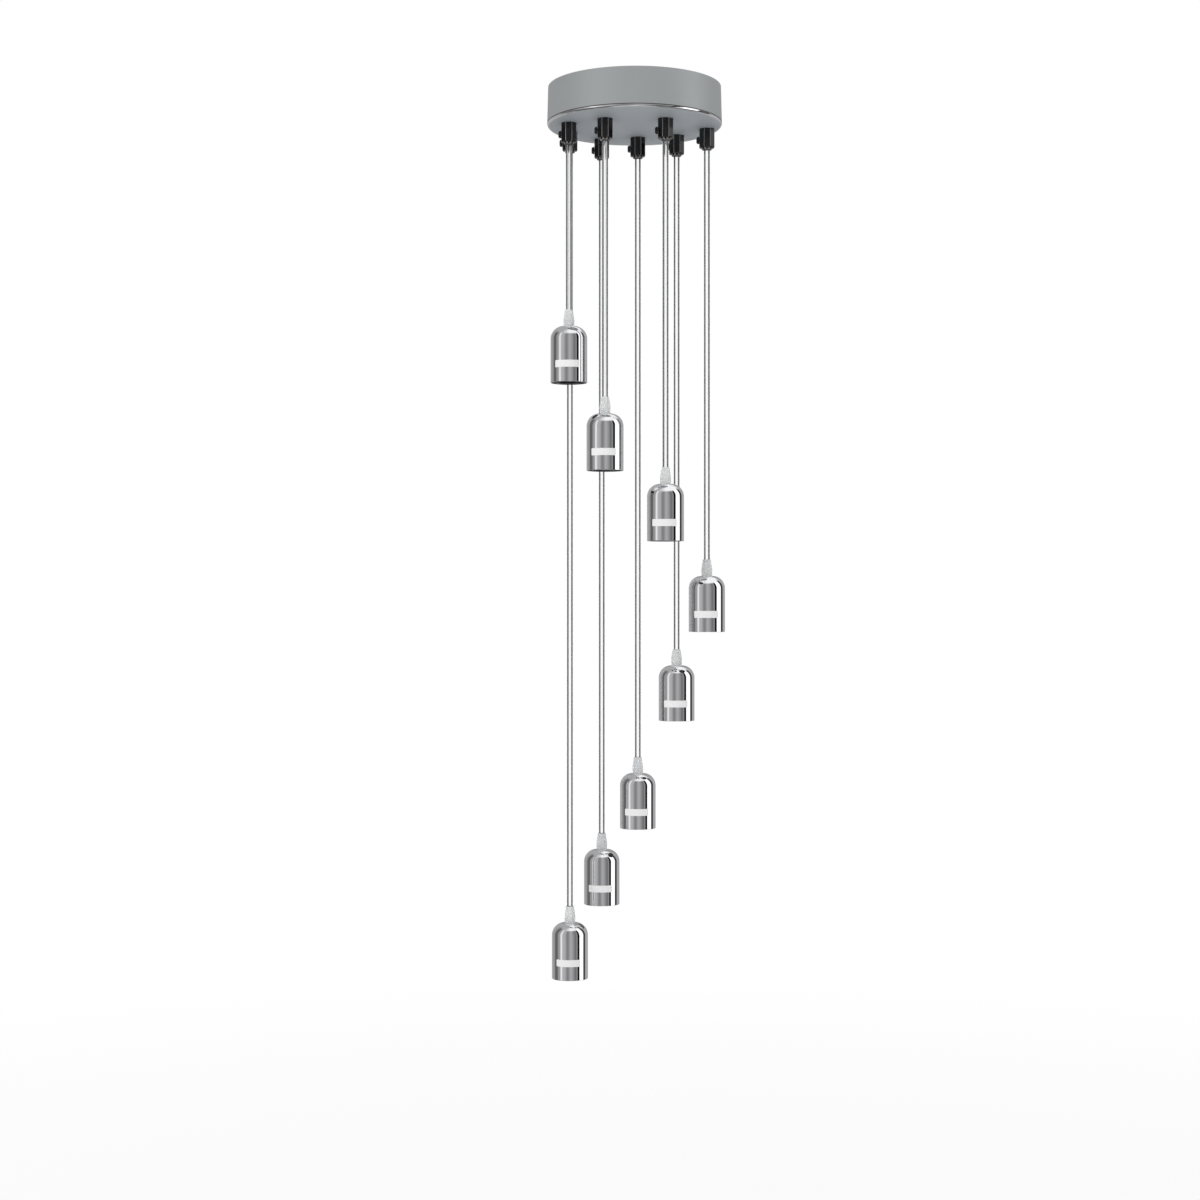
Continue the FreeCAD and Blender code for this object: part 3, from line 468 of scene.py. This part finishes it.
def tinned_wire(colour):
    """Tinned copper strands laid in a long twist, seen through the clear sheath."""
    strands_round, lay_length = 7, 12.0 * MM
    wire = Finish("tinned_wire", colour, 0.45, 1.0)
    along = wire.made.node("ShaderNodeAttribute", attribute_name="along").outputs["Fac"]
    around = wire.made.node("ShaderNodeAttribute", attribute_name="around").outputs["Fac"]
    lay = wire.made.maths("MULTIPLY", along, math.tau * strands_round / lay_length)
    turned = wire.made.maths("MULTIPLY_ADD", around, math.tau * strands_round, lay)
    strands = wire.made.maths("MULTIPLY_ADD", wire.made.maths("SINE", turned), 0.5, 0.5)
    wire.shaded(strands, 0.10)
    return wire.raised(strands, 0.25, 0.1 * MM).material


def clear_nylon():
    """Milky clear moulding, clearer where it is thin."""
    moulding = Finish("clear_nylon", (0.94, 0.95, 0.965), 0.26, IOR=1.45)
    moulding.put("Transmission Weight", 0.38)
    flow = moulding.noise(90.0, (1.0, 1.0, 0.25))
    return moulding.shaded(flow, 0.06).worn(flow, 0.25).raised(flow, 0.06, 0.2 * MM).material


def label_film(colour):
    """White film, smooth with a slight peel."""
    film = Finish("label_film", colour, 0.42)
    peel = film.noise(420.0)
    return film.shaded(peel, 0.02).worn(peel, 0.15).raised(peel, 0.05, 0.03 * MM).material


def moulded(name, colour, roughness, skin_scale):
    """Moulded plastic with a fine skin."""
    plastic = Finish(name, colour, roughness)
    skin = plastic.noise(skin_scale)
    return plastic.shaded(skin, 0.06).worn(skin, 0.15).raised(skin, 0.15, 0.05 * MM).material


def sheet_metal(name, colour, roughness, stretch):
    """Plated or bare metal, its grain drawn out along the axis with the small stretch."""
    metal = Finish(name, colour, roughness, 1.0)
    grain = metal.noise(900.0, stretch)
    spangle = metal.noise(130.0, detail=1.0)
    return metal.shaded(spangle, 0.08).worn(grain, 0.3).raised(grain, 0.1, 0.02 * MM).material


def finishes():
    """Every finish by its name, made once. The record's slots have the same names."""
    if not FINISHES:
        colours = bpy.context.scene.pendant_finish
        FINISHES.update(
            canopy_chrome=canopy_chrome(colours.canopy, colours.face),
            cup_chrome=cup_chrome(colours.cup),
            black_nylon=black_nylon(colours.nylon),
            black_screw=moulded("black_screw", colours.nylon, 0.22, 700.0),
            clear_cord=clear_sheath(),
            tinned_wire=tinned_wire(colours.wire),
            clear_nylon=clear_nylon(),
            label_film=label_film(colours.label),
            brown_insulation=moulded("brown_insulation", (0.20, 0.075, 0.030), 0.45, 500.0),
            blue_insulation=moulded("blue_insulation", (0.020, 0.11, 0.42), 0.45, 500.0),
            white_moulding=moulded("white_moulding", (0.78, 0.78, 0.74), 0.5, 350.0),
            black_moulding=moulded("black_moulding", (0.020, 0.020, 0.021), 0.42, 600.0),
            zinc_plated_steel=sheet_metal(
                "zinc_plated_steel", (0.62, 0.63, 0.62), 0.3, (0.05, 1.0, 1.0)),
            screw_steel=sheet_metal("screw_steel", (0.35, 0.35, 0.36), 0.32, (1.0, 1.0, 1.0)),
            brass=sheet_metal("brass", (0.72, 0.53, 0.25), 0.26, (1.0, 1.0, 0.1)),
            nickel=sheet_metal("nickel", (0.66, 0.64, 0.60), 0.22, (1.0, 1.0, 0.1)))
    return FINISHES


def paint(node, slot, finish=None):
    """Give a CAD node the finish of its slot, or another finish in the same slot."""
    piece = NODES[node]
    piece.data.materials.clear()
    piece.data.materials.append(finishes()[finish or slot])
    for face in piece.data.polygons:
        face.material_index = 0


def moved(piece, offset):
    """Put the piece's place into its mesh."""
    for vertex in piece.data.vertices:
        vertex.co += Vector(offset)
    piece.data.update()
    return piece


# ---------------------------------------------------------------- pieces

class PENDANT_OT_canopy(bpy.types.Operator):
    """Finish the canopy, its side screws and the bracket that carries it"""

    bl_idname = "pendant.canopy"
    bl_label = "Canopy and Bracket"

    def execute(self, context):
        paint("canopy", "canopy_chrome")
        paint("mounting_bracket", "zinc_plated_steel")
        paint("earth_screw", "brass")
        paint("canopy_screw_left", "screw_steel")
        paint("canopy_screw_right", "screw_steel")
        return {"FINISHED"}


class PENDANT_OT_grips(bpy.types.Operator):
    """Finish the cord grips, their lock nuts and their clamp screws"""

    bl_idname = "pendant.grips"
    bl_label = "Cord Grips"

    def execute(self, context):
        paint("cord_grips", "black_nylon")
        paint("grip_lock_nuts", "zinc_plated_steel")
        for number in PENDANTS:
            paint(f"clamp_screw_{number}", "black_nylon", "black_screw")
        return {"FINISHED"}


class PENDANT_OT_wiring(bpy.types.Operator):
    """Finish the wiring inside the canopy"""

    bl_idname = "pendant.wiring"
    bl_label = "Wiring"

    def execute(self, context):
        paint("cord_tails", "clear_cord")
        paint("live_cores", "brown_insulation")
        paint("neutral_cores", "blue_insulation")
        paint("terminal_strip", "white_moulding")
        paint("terminal_clamps", "brass")
        return {"FINISHED"}


def cord_route(number):
    """The straight hanging cord, from the grip's mouth down into the lampholder."""
    low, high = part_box(f"cord_{number}")
    right, behind = middle(f"cord_{number}")
    return [Vector((right, behind, high.z * (1.0 - share) + low.z * share))
            for share in ROUTE_SHARES]


def route_curve(name, points):
    """A smooth curve with the route's points as its control points."""
    curve = bpy.data.curves.new(name, "CURVE")
    curve.dimensions = "3D"
    spline = curve.splines.new("NURBS")
    spline.points.add(len(points) - 1)
    for control, point in zip(spline.points, points):
        control.co = (*point, 1.0)
    spline.order_u = 3
    spline.use_endpoint_u = True
    return curve


def curve_points(curve):
    """The points of a curve with no bevel."""
    bare = bpy.data.objects.new("bare_route", curve)
    line = bpy.data.meshes.new_from_object(bare)
    bpy.data.objects.remove(bare)
    return [vertex.co.copy() for vertex in line.vertices]


class PENDANT_OT_cords(bpy.types.Operator):
    """Make the clear cords with two tinned wires in each"""

    bl_idname = "pendant.cords"
    bl_label = "Cords"

    def execute(self, context):
        sizes = context.scene.pendant_cord
        tree = strand_tree()
        strands = {
            "cord_sheath": (CORD_RADIUS, 0.0, sizes.sides, "clear_cord"),
            "cord_wire_left": (sizes.wire_radius, -sizes.wire_offset, WIRE_SIDES, "tinned_wire"),
            "cord_wire_right": (sizes.wire_radius, sizes.wire_offset, WIRE_SIDES, "tinned_wire")}
        for number in PENDANTS:
            points = cord_route(number)
            curve = route_curve(f"cord_route_{number}", points)
            for name, (radius, offset, sides, material) in strands.items():
                piece = grown(f"{name}_{number}", curve.copy(), tree, {
                    "Radius": radius, "Offset": offset, "Sides": sides, "Rings": sizes.rings,
                    "Material": finishes()[material]})
                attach(piece, f"hanging_cord_{number}")
                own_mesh(piece)
            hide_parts(f"cord_{number}")
            curve_points(curve)
        return {"FINISHED"}


class PENDANT_OT_reliefs(bpy.types.Operator):
    """Finish the clear strain reliefs"""

    bl_idname = "pendant.reliefs"
    bl_label = "Strain Reliefs"

    def execute(self, context):
        for number in PENDANTS:
            paint(f"strain_relief_{number}", "clear_nylon")
        return {"FINISHED"}


def label_mesh(sizes):
    """A thin film bent round the cup, its corners rounded, centred on the cup's top."""
    half_width, half_height = sizes.width / 2, sizes.height / 2

    def edge_height(inset):
        """Half the label's height, where its rounded corner has come this far in."""
        cut = sizes.corner - math.sqrt(max(0.0, sizes.corner ** 2 - inset ** 2))
        return half_height - cut

    outline = []
    for column in range(LABEL_COLUMNS + 1):
        across = -half_width + sizes.width * column / LABEL_COLUMNS
        inset = max(0.0, abs(across) - (half_width - sizes.corner))
        outline.append((across, edge_height(inset)))
    for step in range(1, LABEL_CORNER_STEPS):
        inset = sizes.corner * math.sin(math.pi / 2 * step / LABEL_CORNER_STEPS)
        across = half_width - sizes.corner + inset
        outline += [(across, edge_height(inset)), (-across, edge_height(inset))]
    outline = sorted(set(outline))
    front = -math.pi / 2 - sizes.turn
    inner = CUP_RADIUS + LABEL_LIFT
    verts, faces = [], []
    for across, up in outline:
        angle = front + across / CUP_RADIUS
        for radius in (inner, inner + sizes.film):
            for side in (-1.0, 1.0):
                verts.append((radius * math.cos(angle), radius * math.sin(angle),
                              side * up - sizes.drop))
    for column in range(len(outline) - 1):
        a, b = 4 * column, 4 * column + 4
        faces += [(a, a + 1, b + 1, b), (a + 2, b + 2, b + 3, a + 3),
                  (a, b, b + 2, a + 2), (a + 1, a + 3, b + 3, b + 1)]
    last = 4 * (len(outline) - 1)
    faces += [(0, 2, 3, 1), (last, last + 1, last + 3, last + 2)]
    mesh = bpy.data.meshes.new("cup_label")
    mesh.from_pydata(verts, [], faces)
    mesh.validate()
    mesh.materials.append(finishes()["label_film"])
    return mesh


class PENDANT_OT_cups(bpy.types.Operator):
    """Finish the cups and put a bare label on the front of each"""

    bl_idname = "pendant.cups"
    bl_label = "Cups and Labels"

    def execute(self, context):
        film = label_mesh(context.scene.pendant_label)
        for number in PENDANTS:
            paint(f"holder_cup_{number}", "cup_chrome")
            label = bpy.data.objects.new(f"cup_label_{number}", film.copy())
            context.scene.collection.objects.link(label)
            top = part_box(f"holder_cup_{number}")[1].z
            moved(label, (*middle(f"holder_cup_{number}"), top))
            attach(label, f"pendant_{number}")
        return {"FINISHED"}


class PENDANT_OT_sockets(bpy.types.Operator):
    """Finish the lampholders' insides and roll the thread into each screw shell"""

    bl_idname = "pendant.sockets"
    bl_label = "Sockets"

    def execute(self, context):
        sizes = context.scene.pendant_thread
        tree = thread_tree()
        for number in PENDANTS:
            paint(f"socket_insulator_{number}", "black_moulding")
            paint(f"socket_metalwork_{number}", "nickel")
            thread = grown(f"socket_thread_{number}", bpy.data.meshes.new("thread_seed"), tree, {
                "Radius": SHELL_RADIUS - sizes.gap, "Depth": sizes.depth,
                "Pitch": sizes.pitch, "Length": SHELL_MOUTH - SHELL_SEAT, "Sides": sizes.sides,
                "Stations": sizes.stations, "Material": finishes()["nickel"]})
            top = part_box(f"holder_cup_{number}")[1].z
            moved(thread, (*middle(f"holder_cup_{number}"), top - SHELL_MOUTH))
            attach(thread, f"pendant_{number}")
        return {"FINISHED"}


# ---------------------------------------------------------------- stage

# Reflected walls: their grey level, their share of blue and the height of their middle.
WALL_LEVEL = 0.33
WALL_BLUE = 1.02
EYE_LEVEL = -0.6

# The panels on them, by bearing from the middle of the pendants: 0 towards the camera, positive to
# its right. Each has a middle, a half width and a soft edge in degrees, and a grey level.
PANELS = (
    (-150.0, 16.0, 10.0, 0.42),
    (-97.0, 13.0, 5.0, 0.13),
    (-42.0, 16.0, 18.0, 0.46),
    (-58.0, 6.0, 6.0, 0.90),
    (-17.0, 8.0, 10.0, 0.22),
    (5.0, 7.0, 7.0, 0.42),
    (35.0, 8.0, 12.0, 0.15),
    (57.0, 7.0, 1.5, 0.004),
    (80.5, 15.5, 1.5, 1.30),
    (107.5, 9.5, 1.5, 0.04),
    (136.0, 17.0, 6.0, 0.42),
)

# The ceiling's level over the left and the right, the bearings between which it changes, and the
# height angles between which the walls turn into it.
CEILING_LEFT, CEILING_RIGHT = 0.42, 1.0
CEILING_BEARINGS = (-75.0, 15.0)
CEILING_HEIGHTS = (38.0, 54.0)

# The bowl over the floor: how much a ring in it is darkened, the distances from the middle between
# which the ring ends and the white middle ends, and the bowl's height over the floor.
RING_SHADE = 0.75
RING_ENDS = (1.1, 1.4)
WHITE_ENDS = (0.30, 0.45)
BOWL_OVER_FLOOR = 0.02

# The floor's grey, the share of plain white that the camera sees on it, the distances from the
# middle between which it turns all white, and its sides.
FLOOR_GREY = 0.92
FLOOR_WHITE = 0.8
FLOOR_FADE = (1.6, 3.2)
FLOOR_SIDES = 96

# The lamps: where they point, their width, and the fill's share of the key's power.
LAMP_TARGET = (0.0, 0.0, -0.5)
LAMP_SIZE = 1.6
FILL_SHARE = 1 / 6


def eased(value, start, end):
    """A smooth step from 0 at the start to 1 at the end."""
    share = min(1.0, max(0.0, (value - start) / (end - start)))
    return share * share * (3.0 - 2.0 * share)


def wall_level(bearing, height):
    """Grey level of the studio walls at a bearing and a height angle, in degrees."""
    level = WALL_LEVEL
    for middle_at, half, soft, grey in PANELS:
        away = abs((bearing - middle_at + 180.0) % 360.0 - 180.0) - half
        level += (grey - level) * eased(-away, -soft, soft)
    side = bearing if bearing <= 180.0 else bearing - 360.0
    ceiling = CEILING_LEFT + (CEILING_RIGHT - CEILING_LEFT) * eased(side, *CEILING_BEARINGS)
    return level + (ceiling - level) * eased(height, *CEILING_HEIGHTS)


def bowl_level(level, out):
    """The walls' grey level carried down over the floor: a dark ring round a white middle."""
    level *= 1.0 - RING_SHADE * (1.0 - eased(out, *RING_ENDS))
    return level + (1.0 - level) * (1.0 - eased(out, *WHITE_ENDS))


def emitter(name):
    """A material that only shines, with its colour from the mesh's own attribute."""
    material = bpy.data.materials.new(name)
    material.use_nodes = True
    made = Tree(material.node_tree)
    material.node_tree.nodes.clear()
    colour = made.node("ShaderNodeAttribute", attribute_name="level")
    shine = made.node("ShaderNodeEmission", {"Color": colour.outputs["Color"]})
    made.node("ShaderNodeOutputMaterial", {"Surface": shine.outputs[0]})
    return material


def studio_walls(radius, floor):
    """Grey walls, a pale ceiling and a bowl over the floor, seen only in reflections."""
    bearings, heights = range(360), range(-90, 91)
    verts, levels, faces = [], [], []
    for bearing in bearings:
        for height in heights:
            turn, tilt = math.radians(bearing), math.radians(height)
            out = radius * math.cos(tilt)
            rise = radius if height > 0 else EYE_LEVEL - floor - BOWL_OVER_FLOOR
            verts.append((out * math.sin(turn), -out * math.cos(turn),
                          EYE_LEVEL + rise * math.sin(tilt)))
            level = wall_level(bearing, height)
            levels.append(bowl_level(level, out) if height < 0 else level)
    rows = len(heights)
    count = len(verts)
    for column in range(len(bearings)):
        for row in range(rows - 1):
            a = column * rows + row
            b = (a + rows) % count
            faces.append((a, b, b + 1, a + 1))
    mesh = bpy.data.meshes.new("studio_walls")
    mesh.from_pydata(verts, [], faces)
    colours = mesh.color_attributes.new("level", "FLOAT_COLOR", "POINT")
    for item, level in zip(colours.data, levels):
        item.color = (level, level, level * WALL_BLUE, 1.0)
    mesh.materials.append(emitter("studio_wall"))
    walls = bpy.data.objects.new("studio_walls", mesh)
    bpy.context.scene.collection.objects.link(walls)
    walls.visible_camera = walls.visible_diffuse = walls.visible_shadow = False
    walls.visible_transmission = walls.visible_volume_scatter = False


def pale_floor(level, reach):
    """A round pale floor that keeps the shadow and shows white to the camera."""
    mesh = bpy.data.meshes.new("floor")
    turns = [math.tau * side / FLOOR_SIDES for side in range(FLOOR_SIDES)]
    rim = [(reach * math.cos(turn), reach * math.sin(turn), level) for turn in turns]
    mesh.from_pydata(rim, [], [tuple(range(FLOOR_SIDES))])
    material = bpy.data.materials.new("floor")
    material.use_nodes = True
    made = Tree(material.node_tree)
    material.node_tree.nodes.clear()
    matt = made.node("ShaderNodeBsdfDiffuse", {
        "Color": (FLOOR_GREY, FLOOR_GREY, FLOOR_GREY, 1.0)})
    white = made.node("ShaderNodeEmission", {"Color": (1.0, 1.0, 1.0, 1.0), "Strength": 1.0})
    # far from the object the floor turns into the white of the backdrop
    spot = made.node("ShaderNodeVectorMath", {
        0: made.node("ShaderNodeTexCoord").outputs["Object"]}, operation="LENGTH")
    whitening = made.node("ShaderNodeMapRange", {
        "Value": spot.outputs["Value"], "From Min": FLOOR_FADE[0], "From Max": FLOOR_FADE[1],
        "To Min": FLOOR_WHITE, "To Max": 1.0})
    mixed = made.node("ShaderNodeMixShader", {
        "Fac": made.maths("MULTIPLY", seen_directly(made), whitening.outputs[0]),
        1: matt.outputs[0], 2: white.outputs[0]})
    made.node("ShaderNodeOutputMaterial", {"Surface": mixed.outputs[0]})
    mesh.materials.append(material)
    floor = bpy.data.objects.new("floor", mesh)
    bpy.context.scene.collection.objects.link(floor)


def seen_directly(made):
    """1 for rays from the camera, mirrors and clear pieces, 0 for light that falls on things."""
    path = made.node("ShaderNodeLightPath")
    glossy = made.maths("MAXIMUM", path.outputs["Is Camera Ray"], path.outputs["Is Glossy Ray"])
    return made.maths("MAXIMUM", glossy, path.outputs["Is Transmission Ray"])


def white_world(sky):
    """White where it is seen, and a plain soft light on the object."""
    world = bpy.data.worlds.new("studio_white")
    world.use_nodes = True
    made = Tree(world.node_tree)
    world.node_tree.nodes.clear()
    strength = made.maths("MULTIPLY_ADD", seen_directly(made), 1.0 - sky, sky)
    plain = made.node("ShaderNodeBackground", {"Color": (1.0, 1.0, 1.0, 1.0),
                                               "Strength": strength})
    made.node("ShaderNodeOutputWorld", {"Surface": plain.outputs[0]})
    bpy.context.scene.world = world


def area_lamp(name, place, power):
    """A large soft lamp aimed at the pendants, not seen in mirrors."""
    light = bpy.data.lights.new(name, "AREA")
    light.shape = "SQUARE"
    light.size = LAMP_SIZE
    light.energy = power
    lamp = bpy.data.objects.new(name, light)
    bpy.context.scene.collection.objects.link(lamp)
    lamp.location = place
    lamp.rotation_euler = (Vector(LAMP_TARGET) - Vector(place)).to_track_quat("-Z", "Y").to_euler()
    lamp.visible_glossy = lamp.visible_transmission = lamp.visible_camera = False


class PENDANT_OT_stage(bpy.types.Operator):
    """Set up the floor, the reflected walls, the light and the camera"""

    bl_idname = "pendant.stage"
    bl_label = "Stage"

    def execute(self, context):
        studio = context.scene.pendant_studio
        pale_floor(studio.floor_level, studio.floor_reach)
        studio_walls(studio.wall_radius, studio.floor_level)
        white_world(studio.sky)
        area_lamp("key_lamp", (-1.7, -2.0, 0.9), studio.lamp)
        area_lamp("fill_lamp", (2.1, -1.5, 0.1), studio.lamp * FILL_SHARE)
        view = bpy.data.cameras.new("camera")
        view.lens = studio.lens
        view.sensor_width = 36.0
        view.clip_end = 60.0
        camera = bpy.data.objects.new("camera", view)
        context.scene.collection.objects.link(camera)
        camera.location = studio.camera_place
        camera.rotation_euler = (math.pi / 2, 0.0, 0.0)
        context.scene.camera = camera
        context.scene.view_settings.view_transform = "Standard"
        return {"FINISHED"}


class PENDANT_PT_sidebar(bpy.types.Panel):
    """The pendant's steps and settings"""

    bl_idname = "PENDANT_PT_sidebar"
    bl_label = "Cluster Pendant"
    bl_space_type = "VIEW_3D"
    bl_region_type = "UI"
    bl_category = "Pendant"

    def draw(self, context):
        for step in OPERATORS:
            self.layout.operator(step.bl_idname)
        for name, group in GROUPS.items():
            box = self.layout.box()
            for field in group.__annotations__:
                box.prop(getattr(context.scene, name), field)


OPERATORS = (PENDANT_OT_cords, PENDANT_OT_canopy, PENDANT_OT_grips, PENDANT_OT_wiring,
             PENDANT_OT_reliefs, PENDANT_OT_cups, PENDANT_OT_sockets, PENDANT_OT_stage)
CLASSES = (*GROUPS.values(), *OPERATORS, PENDANT_PT_sidebar)


def register():
    """Register the settings, the steps and the panel."""
    for made in CLASSES:
        bpy.utils.register_class(made)
    for name, group in GROUPS.items():
        setattr(bpy.types.Scene, name, PointerProperty(type=group))


def unregister():
    """Take them out again."""
    for name in GROUPS:
        delattr(bpy.types.Scene, name)
    for made in reversed(CLASSES):
        bpy.utils.unregister_class(made)


def main():
    register()
    bpy.ops.pendant.stage()
    bpy.ops.pendant.cords()
    bpy.ops.pendant.canopy()
    bpy.ops.pendant.grips()
    bpy.ops.pendant.wiring()
    bpy.ops.pendant.reliefs()
    bpy.ops.pendant.cups()
    bpy.ops.pendant.sockets()


if __name__ == "__main__":
    main()
